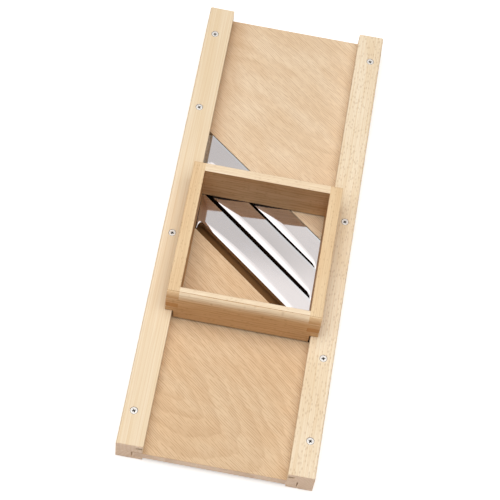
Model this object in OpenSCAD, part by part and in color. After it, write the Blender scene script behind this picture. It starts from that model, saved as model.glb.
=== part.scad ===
// A cabbage cutter: two beech boards and three slanting blades are held between two side
// rails, and a loose four-walled box that holds the cabbage slides along the rails.
// X runs across the cutter, Y to its far end and Z up from the surface that it lies on.

/* [Rails] */
// Length of the rails
rail_len = 520; // [460:1:620]
// Width of the cutter over both rails
cutter_w = 190; // [170:1:240]
// Width of one rail
rail_w = 26; // [25:0.5:32]
// Height of the lower rail, up to the top of the boards
side_rail_h = 15; // [14:0.5:20]
// Height of the guide strip that is screwed on the lower rail
strip_h = 15; // [14:0.5:20]
// Rounding of the outer top edge of a guide strip
strip_round = 2; // [1:0.25:4]

/* [Slide groove] */
// Depth of wood above the slide groove
groove_drop = 5.2; // [4:0.1:7]
// Height of the slide groove
groove_h = 2.8; // [2.4:0.1:4]
// Depth of the slide groove from the inner face of the rail
groove_depth = 6.6; // [5:0.1:9]

/* [Boards] */
// Thickness of a board
board_t = 10; // [7:0.5:11]
// How far a board reaches into a rail
board_lap = 10; // [8:0.5:11]
// Gap between the edge of a board and the shoulder of its rebate
board_gap = 0.8; // [0.2:0.1:1.2]
// Rounding of the near board's edge at the throat
throat_round = 1.5; // [1:0.5:3]
// How far the far board ends short of the rails
board_set_back = 2; // [0:0.5:4]

/* [Blades] */
// Angle of the blades to the width of the cutter
blade_angle = 38.4; // [34:0.2:42]
// Place of the middle of the blades and their slots, square to the blades
band_place = -1.3; // [-6:0.1:6]
// Width of one blade
blade_w = 23; // [20:0.5:25]
// Thickness of the blade steel
blade_t = 1.2; // [0.8:0.1:1.5]
// Thickness left at the cutting edge, which is the far edge
edge_t = 0.2; // [0.1:0.05:0.4]
// Height of the cutting edges above the boards
cut_lift = 2; // [1:0.1:2.1]
// Depth of the flat blade ends below the top of the boards
blade_drop = 1.7; // [1.2:0.1:2.4]
// Rise of the pressed part of a blade above its flat ends
press_rise = 0.9; // [0.8:0.1:1.4]
// Length over which the pressed part runs out at either end
run_out = 3; // [2:0.5:5]
// Flat steel between a run-out and the rail
end_margin = 0.5; // [0.5:0.5:3]
// Width of the near edge that is rounded down, where it is widest
lip_w = 7.6; // [5:0.1:9]
// Extra slope of that rounded edge at its tip
lip_slope = 0.2; // [0.1:0.02:0.2]
// Place across the cutter where the rounded edge is widest
lip_middle = 10; // [-10:1:20]
// Distance from there to where the rounded edge would end
lip_reach = 80; // [70:1:120]
// Height of the fold that hangs from the near edge
fold_h = 5.5; // [3:0.5:6]
// How far the near edge of a blade is drawn back in its middle
edge_bow = 0.9; // [0:0.1:1.5]
// Length over which the near edge comes forward to close the slot at the left end
left_flare = 6; // [4:0.5:10]
// Length over which it comes forward at the right end
right_flare = 4; // [3:0.5:8]
// Distance from a run-out to where the slot is closed
flare_margin = 3; // [2:0.5:4]
// Gap left in the closed slot
end_gap = 0.2; // [0.1:0.1:0.4]
// Open throat between the near board and the first blade
throat_w = 11.3; // [10.6:0.1:13]
// Slot between the first and the second blade
second_slot = 5; // [3:0.1:6]
// Slot between the second and the third blade
third_slot = 3.4; // [2:0.1:5]
// Slot between the third blade and the far board
last_slot = 1.8; // [1.2:0.1:3]
// How far a blade reaches into a rail
blade_lap = 9; // [6:0.5:10]

/* [Screws] */
// Diameter of a screw head
screw_head_d = 7.6; // [7:0.1:9]
// Diameter of a screw shank
screw_d = 4; // [3:0.1:4.5]
// Length of a screw
screw_len = 25; // [22:0.5:27]
// Distance of the screws from the outer face of the rail
screw_inset = 10.4; // [8:0.1:11]
// Distance of the outer screws from the rail ends: left far, left near, right far, right near
end_screw = [34.5, 35.5, 33.5, 37.5]; // [20:0.5:60]
// Distance of the inner screws from the board corners: left far, left near, right far, right near
corner_screw = [18, 21.5, 21.5, 20]; // [12:0.5:40]
// Gap round a screw in its hole
screw_gap = 0.1; // [0.05:0.05:0.2]
// Depth of a screw head below the top of the strip
screw_sink = 0.2; // [0.1:0.1:0.6]
// Depth of the cross recess
recess_depth = 1.8; // [1:0.1:2]
// Length of one slot of the cross recess
recess_len = 4.2; // [3:0.1:4.5]
// Width of one slot of the cross recess
recess_w = 0.9; // [0.7:0.1:1.2]

/* [Carriage] */
// Inner length of the carriage
carriage_len = 135; // [110:1:160]
// Height of the carriage above the rails
carriage_rise = 32.3; // [24:0.1:45]
// Thickness of a side wall above the rail
side_wall_t = 12.3; // [10:0.1:14]
// Thickness of a side wall between the rails
skirt_t = 4.1; // [3.5:0.1:5]
// Thickness of the rear wall
rear_wall_t = 9.2; // [7:0.1:12]
// Thickness of the front wall
front_wall_t = 10.4; // [8:0.1:14]
// Depth of the rounding of the top front edge, from the front face back
front_round = 5; // [3:0.5:6]
// Height of that rounding, which runs far down the front face
front_round_h = 15; // [6:0.5:18]
// Small step where that rounding starts
front_step = 0.4; // [0.2:0.1:0.8]
// Height of the carriage walls above the boards
skirt_lift = 2.5; // [2.4:0.1:4]
// Play between the carriage and each rail
side_play = 1.2; // [0.5:0.1:1.6]
// Play above and below the sliding faces
ride_gap = 0.3; // [0.2:0.05:0.4]
// Play at the tip of the tongue
tongue_play = 1.6; // [0.6:0.1:2]
// Place of the middle of the carriage along the rails at rest
carriage_place = -35; // [-60:1:60]
// Number of fingers in a corner joint
finger_count = 4; // [2:2:6]

/* [Hidden] */

$fn = 48;
over = 1;            // how far a cutting tool runs past the face that it cuts
LEFT = -1;
RIGHT = 1;

// Rails
half_w = cutter_w / 2;
half_len = rail_len / 2;
rail_inner = half_w - rail_w;
rail_top = side_rail_h + strip_h;
rebate_w = board_lap + board_gap;
groove_top = rail_top - groove_drop;

// Boards and blades: across is the direction square to the blades, towards the far end, in
// which their places are measured from the middle of the cutter
across = [sin(blade_angle), cos(blade_angle)];
band_half = (throat_w + 3 * blade_w + second_slot + third_slot + last_slot) / 2;
band_near = band_place - band_half;
band_far = band_place + band_half;
board_edge_x = rail_inner + board_lap;
near_blade_edge = band_near + throat_w;
middle_blade_edge = near_blade_edge + blade_w + second_slot;
far_blade_edge = middle_blade_edge + blade_w + third_slot;
blade_end_x = rail_inner + blade_lap;
blade_end_top = side_rail_h - blade_drop;
blade_slope = (cut_lift + blade_drop - press_rise) / blade_w;
press_end = rail_inner - end_margin;
full_end = press_end - run_out;
flare_end = full_end - flare_margin;
flare_left = left_flare - flare_end;
flare_right = flare_end - right_flare;
lip_least = 0.3;     // least width of the rounded edge, as a share of its full width
edge_grind = 3;      // width of the ground taper at a cutting edge
lip_steps = 6;       // facets across the rounded edge
run_out_steps = 3;   // facets along each run-out
flare_steps = 5;     // facets along each rounded end of a slot
press_steps = 8;     // facets along the pressed part between these ends

// Screws
screw_x = half_w - screw_inset;
screw_top = rail_top - screw_sink;
head_cone_h = (screw_head_d - screw_d) / 2;
screw_tip_h = screw_d;

// Carriage
skirt_outer = rail_inner - side_play;
well_half = skirt_outer - skirt_t;
wall_outer = well_half + side_wall_t;
skirt_bottom = side_rail_h + skirt_lift;
wall_bottom = rail_top + ride_gap;
wall_top = rail_top + carriage_rise;
well_near = carriage_place - carriage_len / 2;
well_far = carriage_place + carriage_len / 2;
front_face = well_near - front_wall_t;
rear_face = well_far + rear_wall_t;
tongue_tip = rail_inner + groove_depth - tongue_play;
tongue_t = groove_h - 2 * ride_gap;
finger_h = (wall_top - wall_bottom) / finger_count;
front_round_steps = 24; // facets of the rounded front edge

// Where the line at the distance s from the middle, along a blade, crosses the place x
function line_y(s, x) = (s - across[0] * x) / across[1];

// A smooth step that goes from 0 at 0 to 1 at 1
function smooth(t) = let (u = min(1, max(0, t))) u * u * (3 - 2 * u);

// Name of a screw by its side and its place along the rail, counted from the far end
function screw_name(side, place) =
    str(side == LEFT ? "left_" : "right_",
        ["far_end", "far_corner", "near_corner", "near_end"][place], "_screw");

// Where a screw sits along its rail, by its side and its place along the rail
function screw_y(side, place) =
    let (row = side == LEFT ? 0 : 2,
         far_corner = line_y(band_far, side * rail_inner),
         near_corner = line_y(band_near, side * rail_inner))
    [half_len - end_screw[row],
     far_corner + corner_screw[row],
     near_corner - corner_screw[row + 1],
     -half_len + end_screw[row + 1]][place];

// A box between two corners
module block(low, high) {
    translate(low)
        cube(high - low);
}

// All that lies between two lines parallel to the blades, as a slab of the given heights
module band(s_low, s_high, z_low, z_high) {
    reach = rail_len + cutter_w;
    translate([0, 0, z_low])
        rotate(-blade_angle)
            translate([-reach / 2, s_low, 0])
                cube([reach, s_high - s_low, z_high - z_low]);
}

// The waste cut off a square edge to round it, along Y, with its corner at the origin
module round_waste_y(r, length) {
    translate([-r, -length / 2, -r])
        difference() {
            cube([r + over, length, r + over]);
            translate([0, -over, 0])
                rotate([-90, 0, 0])
                    cylinder(r = r, h = length + 2 * over);
        }
}

// The lower rail on one side: boards lie in its rebates and the blades in a slot between them
module side_rail(side) {
    color("burlywood")
    difference() {
        mirror([side == LEFT ? 1 : 0, 0, 0])
            block([rail_inner, -half_len, 0], [half_w, half_len, side_rail_h]);
        intersection() {
            inner_cut(side, side_rail_h - board_t, side_rail_h + over);
            union() {
                near_side();
                band(band_far, rail_len, 0, side_rail_h + over);
            }
        }
        inner_cut(side, blade_end_top - blade_t, blade_end_top);
        for (place = [0 : 3])
            translate([side * screw_x, screw_y(side, place), screw_top])
                screw_hole();
    }
}

// What is cut into the inner face of one side rail, all along it, between two heights
module inner_cut(side, z_low, z_high) {
    mirror([side == LEFT ? 1 : 0, 0, 0])
        block([rail_inner - over, -half_len - over, z_low],
              [rail_inner + rebate_w, half_len + over, z_high]);
}

// The strip screwed on a side rail: it clamps the boards and guides the carriage
module guide_strip(side) {
    color("wheat")
    difference() {
        mirror([side == LEFT ? 1 : 0, 0, 0])
            difference() {
                block([rail_inner, -half_len, side_rail_h], [half_w, half_len, rail_top]);
                block([rail_inner - over, -half_len - over, groove_top - groove_h],
                      [rail_inner + groove_depth, half_len + over, groove_top]);
                translate([half_w, 0, rail_top])
                    round_waste_y(strip_round, rail_len + 2 * over);
            }
        for (place = [0 : 3])
            translate([side * screw_x, screw_y(side, place), screw_top])
                screw_hole();
    }
}

// Outline of a countersunk wood screw from the rim of its head down, grown by the given gap
function screw_outline(gap) = [
    [screw_head_d / 2 + gap, 0],
    [screw_d / 2 + gap, -head_cone_h],
    [screw_d / 2 + gap, screw_tip_h - screw_len],
    [0, -screw_len - gap]];

// The hole that a screw fills, with its countersink
module screw_hole() {
    rotate_extrude()
        polygon(concat(
            [[0, screw_sink + over], [screw_head_d / 2 + screw_gap, screw_sink + over]],
            screw_outline(screw_gap)));
}

// One screw, driven down through a guide strip into the rail below
module screw(side, place) {
    color("silver")
    translate([side * screw_x, screw_y(side, place), screw_top])
        difference() {
            rotate_extrude()
                polygon(concat([[0, 0]], screw_outline(0)));
            for (turn = [0, 90])
                rotate(turn)
                    translate([-recess_len / 2, -recess_w / 2, -recess_depth])
                        cube([recess_len, recess_w, recess_depth + over]);
        }
}

// The board behind the blades
module far_board() {
    color("tan")
    difference() {
        block([-board_edge_x, -half_len, side_rail_h - board_t],
              [board_edge_x, half_len - board_set_back, side_rail_h]);
        band(-rail_len, band_far, 0, rail_top);
    }
}

// All that lies in front of the throat, from the bottom of the boards up, with its rounded edge
module near_side() {
    difference() {
        band(-rail_len, band_near + throat_round, side_rail_h - board_t, side_rail_h + over);
        rotate(-blade_angle)
            translate([0, band_near + throat_round, side_rail_h])
                rotate(90)
                    round_waste_y(throat_round, 2 * rail_len);
    }
}

// The board in front of the blades, rounded at the throat
module near_board() {
    color("tan")
    intersection() {
        block([-board_edge_x, -half_len, side_rail_h - board_t],
              [board_edge_x, half_len, side_rail_h]);
        near_side();
    }
}

// How far a blade is pressed up at the place x, as a share
function press_share(x) = smooth((press_end - abs(x)) / run_out);

// Width of the rounded near edge of a blade at the place x
function lip_width(x) = lip_w * max(lip_least, 1 - pow((x - lip_middle) / lip_reach, 2));

// How far the rounded near edge drops below the slope of the blade, at the distance v behind it
function lip_drop(x, v) = let (w = lip_width(x)) lip_slope * w / 2 * pow(max(0, 1 - v / w), 2);

// Thickness of a blade at the distance v behind its near edge
function blade_thickness(v) = edge_t + (blade_t - edge_t) * min(1, (blade_w - v) / edge_grind);

// Where the underside lies behind the near edge, below the place v of the top: the fold takes up
// the first of it
function under_place(v) = blade_t + v * (1 - blade_t / blade_w);

// How deep the fold hangs below the near edge at the place x
function fold_depth(x) = blade_t + fold_h * press_share(x);

// How far the inner face of the fold lies behind the near edge at the place x
function fold_inner(x) = blade_t * (1 + press_share(x)) / 2;

// A rounded corner that goes from 0 at 0 to 1 at 1, as a quarter of an ellipse
function corner(t) = 1 - sqrt(1 - pow(min(1, max(0, t)), 2));

// How far the near edge comes forward at the place x, as a share of the slot that it closes
function flare(x) = corner((flare_left - x) / left_flare) + corner((x - flare_right) / right_flare);

// How far a blade comes forward for that at the place x and the distance v behind its near edge
function forward(x, v, slot) = (slot - end_gap) * flare(x) * (1 - v / blade_w);

// How far a blade is drawn back in its middle at the same place
function drawn_back(x, v) = edge_bow * (1 - pow(x / blade_end_x, 2)) * (1 - v / blade_w);

// Top of a blade at the same place: its slope runs on where the near edge comes forward
function blade_top(x, v, slot) =
    blade_end_top
    + press_share(x) * (press_rise + blade_slope * (v - forward(x, v, slot)) - lip_drop(x, v));

// Places along a blade where its form changes, from the left rail to the right one
function blade_stations() = concat(
    [-blade_end_x],
    [for (k = [0 : run_out_steps]) run_out * k / run_out_steps - press_end],
    [for (k = [flare_steps : -1 : 1]) flare_left - left_flare * sin(90 * k / flare_steps)],
    [for (k = [0 : press_steps]) flare_left + (flare_right - flare_left) * k / press_steps],
    [for (k = [1 : flare_steps]) flare_right + right_flare * sin(90 * k / flare_steps)],
    [for (k = [0 : run_out_steps]) full_end + run_out * k / run_out_steps],
    [blade_end_x]);

// Distances behind the near edge where a blade's form changes, at the place x
function blade_steps(x) = concat(
    [for (k = [0 : lip_steps]) lip_width(x) * k / lip_steps], [blade_w - edge_grind, blade_w]);

// A point of a blade at the place x and the distance v behind its near edge, at the given depth
function blade_point(edge_s, slot, x, v, depth) =
    [x, line_y(edge_s + v + drawn_back(x, v) - forward(x, v, slot), x), blade_top(x, v, slot) - depth];

// One blade, pressed up towards its far edge: its near edge lies at the given distance from the
// middle and is folded down, and its flat ends close the slot before it
module blade(edge_s, slot) {
    stations = blade_stations();
    rows = len(blade_steps(0));
    under = 2 * rows - 1;
    fold = 2 * rows;
    ring = fold + 2;
    last = (len(stations) - 1) * ring;
    points = [for (x = stations) let (steps = blade_steps(x)) each concat(
        [for (v = steps) blade_point(edge_s, slot, x, v, 0)],
        [for (k = [rows - 1 : -1 : 0]) let (v = under_place(steps[k]))
            blade_point(edge_s, slot, x, v, blade_thickness(v))],
        [for (v = [fold_inner(x), 0]) blade_point(edge_s, slot, x, v, fold_depth(x))])];
    sides = [for (i = [0 : len(stations) - 2], j = [0 : ring - 1])
        let (a = i * ring + j, b = i * ring + (j + 1) % ring)
        each [[a, b, b + ring], [a, b + ring, a + ring]]];
    left_cap = concat(
        [[0, fold + 1, fold], [0, fold, under]],
        [for (k = [0 : rows - 2])
            each [[k, under - k, under - k - 1], [k, under - k - 1, k + 1]]]);
    right_cap = [for (face = left_cap) [last + face[0], last + face[2], last + face[1]]];
    color("gainsboro")
    polyhedron(points = points, faces = concat(sides, left_cap, right_cap));
}

module near_blade() {
    blade(near_blade_edge, throat_w - throat_round);
}

module middle_blade() {
    blade(middle_blade_edge, second_slot);
}

module far_blade() {
    blade(far_blade_edge, third_slot);
}

// Every second finger of a corner joint, counted from the bottom, between two corners in plan
module fingers(low, high, first) {
    for (k = [first : 2 : finger_count - 1])
        block([low[0], low[1], wall_bottom + k * finger_h],
              [high[0], high[1], wall_bottom + (k + 1) * finger_h]);
}

// What is cut off the top front edge of the carriage: a round that starts with a small step
module front_edge_waste() {
    step_top = wall_top - front_step;
    round_points = [for (k = [0 : front_round_steps]) let (turn = 90 * k / front_round_steps)
        [front_face + front_round * (1 - sin(turn)), step_top - front_round_h * (1 - cos(turn))]];
    rotate([90, 0, 90])
        linear_extrude(2 * (wall_outer + over), center = true)
            polygon(concat(round_points, [
                [front_face - over, step_top - front_round_h],
                [front_face - over, wall_top + over],
                [front_face + front_round, wall_top + over]]));
}

// A side wall of the carriage: it hangs over the rail and its tongue runs in the slide groove
module side_wall(side) {
    color("burlywood")
    difference() {
        mirror([side == LEFT ? 1 : 0, 0, 0]) {
            block([well_half, well_near, skirt_bottom], [skirt_outer, well_far, wall_top]);
            block([well_half, well_near, wall_bottom], [wall_outer, well_far, wall_top]);
            block([well_half, well_near, groove_top - ride_gap - tongue_t],
                  [tongue_tip, well_far, groove_top - ride_gap]);
            fingers([well_half, front_face], [wall_outer, rear_face], 1);
        }
        front_edge_waste();
    }
}

// An end wall of the carriage between two places along the rails, across both side walls
module end_wall(y_low, y_high) {
    block([-well_half, y_low, skirt_bottom], [well_half, y_high, wall_top]);
    block([-skirt_outer, y_low, skirt_bottom], [skirt_outer, y_high, wall_bottom]);
    fingers([-wall_outer, y_low], [wall_outer, y_high], 0);
}

// The rear wall of the carriage
module carriage_rear_wall() {
    color("burlywood")
    end_wall(well_far, rear_face);
}

// The front wall of the carriage, with a rounded top edge to push against
module carriage_front_wall() {
    color("burlywood")
    difference() {
        end_wall(front_face, well_near);
        front_edge_waste();
    }
}

side_rail(LEFT);  // left_side_rail
side_rail(RIGHT);  // right_side_rail
guide_strip(LEFT);  // left_guide_strip
guide_strip(RIGHT);  // right_guide_strip
far_board();
near_board();
near_blade();
middle_blade();
far_blade();
side_wall(LEFT);  // carriage_left_wall
side_wall(RIGHT);  // carriage_right_wall
carriage_rear_wall();
carriage_front_wall();
for (side = [LEFT, RIGHT], place = [0 : 3])
    screw(side, place);
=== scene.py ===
"""Looks of a beech cabbage cutter: planed wood, pressed steel blades and driven screws.

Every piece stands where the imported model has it. Lengths in the classes are in millimetres and
become metres where a mesh is made.
"""

import logging
import math
from dataclasses import dataclass, field
from enum import Enum

import bmesh
import bpy
from mathutils import Matrix, Vector
from mathutils.bvhtree import BVHTree


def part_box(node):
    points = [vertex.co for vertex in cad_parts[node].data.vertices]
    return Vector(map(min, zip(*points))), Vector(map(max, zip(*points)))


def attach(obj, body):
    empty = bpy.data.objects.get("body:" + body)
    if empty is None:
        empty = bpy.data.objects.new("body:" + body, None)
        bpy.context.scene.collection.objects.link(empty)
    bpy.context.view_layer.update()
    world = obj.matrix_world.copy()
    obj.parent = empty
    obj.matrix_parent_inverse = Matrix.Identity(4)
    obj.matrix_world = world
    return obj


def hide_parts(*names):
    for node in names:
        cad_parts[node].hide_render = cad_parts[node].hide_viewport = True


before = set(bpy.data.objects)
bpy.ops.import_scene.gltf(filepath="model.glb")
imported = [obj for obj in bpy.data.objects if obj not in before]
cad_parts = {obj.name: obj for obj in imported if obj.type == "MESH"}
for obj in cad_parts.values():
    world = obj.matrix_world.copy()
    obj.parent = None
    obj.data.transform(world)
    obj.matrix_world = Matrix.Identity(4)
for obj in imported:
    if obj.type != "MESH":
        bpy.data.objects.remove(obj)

MM = 0.001
FRAME_BODY = "frame"
CARRIAGE_BODY = "carriage"
BLADE_ANGLE = math.radians(38.4)
ACROSS_BLADES = (math.sin(BLADE_ANGLE), math.cos(BLADE_ANGLE), 0.0)
LEFT = (-1.0, 0.0, 0.0)
FAR = (0.0, 1.0, 0.0)
UP = (0.0, 0.0, 1.0)
WHITE = (1.0, 1.0, 1.0, 1.0)
BLACK = (0.0, 0.0, 0.0, 1.0)

Colour = tuple[float, float, float]
Pair = tuple[float, float]
Triple = tuple[float, float, float]
Socket = bpy.types.NodeSocket

log = logging.getLogger("cabbage_cutter")


class Quantity:
    """A number that a node tree works out, which takes part in sums as a plain number does."""

    def __init__(self, bench: "NodeBench", socket: Socket) -> None:
        """Takes the bench of the tree and the socket that gives the number."""
        self.bench = bench
        self.socket = socket

    def __add__(self, other: "Number") -> "Quantity":
        """Adds another number."""
        return self.bench.math("ADD", self, other)

    def __sub__(self, other: "Number") -> "Quantity":
        """Takes another number away."""
        return self.bench.math("SUBTRACT", self, other)

    def __rsub__(self, other: "Number") -> "Quantity":
        """Takes this number away from another."""
        return self.bench.math("SUBTRACT", other, self)

    def __mul__(self, other: "Number") -> "Quantity":
        """Multiplies by another number."""
        return self.bench.math("MULTIPLY", self, other)

    def __truediv__(self, other: "Number") -> "Quantity":
        """Divides by another number."""
        return self.bench.math("DIVIDE", self, other)

    def __abs__(self) -> "Quantity":
        """Drops the sign."""
        return self.bench.math("ABSOLUTE", self)


Number = Quantity | float
Feed = Number | Socket | int | bool | str | tuple | Vector | bpy.types.ID


class NodeBench:
    """Adds and joins the nodes of one tree."""

    COLOUR_A, COLOUR_B, COLOUR_RESULT = 6, 7, 2

    def __init__(self, tree: bpy.types.NodeTree) -> None:
        """Takes the tree that the nodes go into."""
        self.tree = tree

    @classmethod
    def of(cls, owner: bpy.types.Material | bpy.types.World) -> "NodeBench":
        """Gives the bench of a material or a world, cleared of the nodes that it starts with."""
        owner.use_nodes = True
        owner.node_tree.nodes.clear()
        return cls(owner.node_tree)

    def feed(self, socket: Socket, value: Feed) -> None:
        """Links a socket to another one, or sets it to a plain value."""
        if isinstance(value, Quantity):
            value = value.socket
        if isinstance(value, bpy.types.NodeSocket):
            self.tree.links.new(value, socket)
        else:
            socket.default_value = value

    def add(
        self, kind: str, inputs: dict[str | int, Feed] | None = None, **options: object
    ) -> bpy.types.Node:
        """Adds one node.

        Args:
            kind: Type name of the node.
            inputs: What goes into its sockets, by their names or places.
            options: Settings of the node itself.

        Returns:
            The new node.
        """
        node = self.tree.nodes.new(kind)
        for name, value in options.items():
            setattr(node, name, value)
        for key, value in (inputs or {}).items():
            self.feed(node.inputs[key], value)
        return node

    def number(
        self, kind: str, inputs: dict[str | int, Feed], output: str | int = 0, **options: object
    ) -> Quantity:
        """Adds one node and gives the number at one of its outputs."""
        return Quantity(self, self.add(kind, inputs, **options).outputs[output])

    def math(self, operation: str, *values: Feed) -> Quantity:
        """Gives the result of one sum on numbers."""
        return self.number("ShaderNodeMath", dict(enumerate(values)), operation=operation)

    def dot(self, vector: Socket, axis: Feed) -> Quantity:
        """Gives the dot product of a vector with an axis."""
        return self.number("ShaderNodeVectorMath", {0: vector, 1: axis}, "Value", operation="DOT_PRODUCT")

    def rise(self, value: Feed, low: Feed, high: Feed, smooth: bool = True) -> Quantity:
        """Gives 0 where a value is at low, 1 where it is at high, and a slope between.

        Args:
            value: The number that is looked at.
            low: Where the slope starts.
            high: Where the slope ends.
            smooth: Whether the slope is rounded at both ends.

        Returns:
            The height of the slope.
        """
        kind = "SMOOTHSTEP" if smooth else "LINEAR"
        inputs = {"Value": value, "From Min": low, "From Max": high}
        return self.number("ShaderNodeMapRange", inputs, "Result", interpolation_type=kind)

    def between(self, share: Feed, low: Feed, high: Feed) -> Quantity:
        """Gives the number at a share of the way from low to high."""
        return self.number("ShaderNodeMapRange", {"Value": share, "To Min": low, "To Max": high}, "Result")

    def blend(self, share: Feed, first: Feed, second: Feed, mode: str = "MIX") -> Socket:
        """Gives the colour at a share of the way from the first to the second."""
        inputs = {0: share, self.COLOUR_A: first, self.COLOUR_B: second}
        node = self.add("ShaderNodeMix", inputs, data_type="RGBA", blend_type=mode)
        return node.outputs[self.COLOUR_RESULT]

    def parts(self, vector: Socket) -> list[Quantity]:
        """Gives the three parts of a vector."""
        return [Quantity(self, part) for part in self.add("ShaderNodeSeparateXYZ", {0: vector}).outputs]

    def vector(self, x: Feed, y: Feed, z: Feed) -> Socket:
        """Gives the vector with the given parts."""
        return self.add("ShaderNodeCombineXYZ", {0: x, 1: y, 2: z}).outputs[0]

    def millimetres(self, place: Socket, turn: float = 0.0) -> Socket:
        """Measures a place in millimetres, turned about the upright axis."""
        inputs = {"Vector": place, "Rotation": (0, 0, turn), "Scale": (1 / MM, 1 / MM, 1 / MM)}
        return self.add("ShaderNodeMapping", inputs).outputs["Vector"]

    def noise(self, place: Socket, cell: Triple, detail: float = 2.0, roughness: float = 0.5) -> Quantity:
        """Gives cloudy noise.

        Args:
            place: Where it is looked at.
            cell: About how large its clouds are along the three axes.
            detail: How many finer layers it has.
            roughness: How strong the finer layers are.

        Returns:
            The noise, from 0 to 1.
        """
        inputs = {"Vector": self.stretch(place, cell), "Scale": 1.0, "Detail": detail, "Roughness": roughness}
        return self.number("ShaderNodeTexNoise", inputs, "Fac")

    def cells(self, place: Socket, cell: Triple) -> tuple[Quantity, Quantity]:
        """Gives the distance to the nearest of many scattered points, and a number of that point's own."""
        node = self.add("ShaderNodeTexVoronoi", {"Vector": self.stretch(place, cell), "Scale": 1.0})
        return Quantity(self, node.outputs["Distance"]), self.parts(node.outputs["Color"])[0]

    def stretch(self, place: Socket, cell: Triple) -> Socket:
        """Measures a place in cells of the given size along its three axes."""
        scale = tuple(1 / size for size in cell)
        return self.add("ShaderNodeMapping", {"Vector": place, "Scale": scale}).outputs["Vector"]

    def attribute(self, name: str) -> Quantity:
        """Gives a number that the mesh carries."""
        return self.number("ShaderNodeAttribute", {}, "Fac", attribute_name=name)

    def bump(self, height: Quantity, strength: float, depth: float) -> Socket:
        """Gives the normals of a fine relief, whose depth is in millimetres."""
        inputs = {"Strength": strength, "Distance": depth * MM, "Height": height}
        return self.add("ShaderNodeBump", inputs).outputs["Normal"]

    def surface(self, colour: Feed, rough: Feed, normal: Socket, metal: float, shine: float = 0.5) -> Socket:
        """Gives the shader of a solid surface.

        Args:
            colour: Its colour.
            rough: Its roughness.
            normal: Its normals.
            metal: Share of bare metal.
            shine: Strength of its plain reflections.

        Returns:
            The shader.
        """
        return self.add("ShaderNodeBsdfPrincipled", {
            "Base Color": colour, "Roughness": rough, "Normal": normal, "Metallic": metal,
            "Specular IOR Level": shine}).outputs["BSDF"]


def rgba(colour: Colour) -> tuple[float, float, float, float]:
    """Gives an opaque colour for a node socket from one written as display values.

    Args:
        colour: Red, green and blue as a display shows them, from 0 to 1.

    Returns:
        The same colour in linear light, with full opacity.
    """
    knee, slope, offset, power = 0.04045, 12.92, 0.055, 2.4
    linear = [c / slope if c <= knee else ((c + offset) / (1 + offset)) ** power for c in colour]
    return (*linear, 1.0)


def placed(name: str, data: bpy.types.ID) -> bpy.types.Object:
    """Puts a new object into the scene.

    Args:
        name: Its name.
        data: Its mesh, lamp or camera.

    Returns:
        The object.
    """
    made = bpy.data.objects.new(name, data)
    bpy.context.scene.collection.objects.link(made)
    return made


def metres(part: object) -> dict[str, float]:
    """Gives the lengths among the fields of a sub-assembly.

    Args:
        part: The sub-assembly, whose plain numbers are lengths in millimetres.

    Returns:
        Each length in metres, by the name of its field.
    """
    return {name: value * MM for name, value in vars(part).items() if isinstance(value, float)}


class Grain(Enum):
    """Which way the fibres of a piece of wood run, as the angle from the X axis."""

    ALONG_RAILS = math.pi / 2
    ACROSS_CUTTER = 0.0
    ALONG_BLADES = -BLADE_ANGLE

    @property
    def axis(self) -> Vector:
        """The direction of the fibres."""
        return Vector((math.cos(self.value), math.sin(self.value), 0))


class Sawn(Enum):
    """How a plank was cut from its log, as the angle at which the wood rays stand to its thickness."""

    FLAT = 0.0
    RIFT = math.radians(28)
    QUARTER = math.radians(82)


class Finish:
    """A look that becomes a material of its own name."""

    name: str

    def shader(self, bench: NodeBench) -> Socket:
        """Gives the shader of the look, made on a bench."""
        raise NotImplementedError

    def material(self) -> bpy.types.Material:
        """Builds the finish.

        Returns:
            The material.
        """
        made = bpy.data.materials.new(self.name)
        bench = NodeBench.of(made)
        bench.add("ShaderNodeOutputMaterial", {"Surface": self.shader(bench)})
        return made


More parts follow.
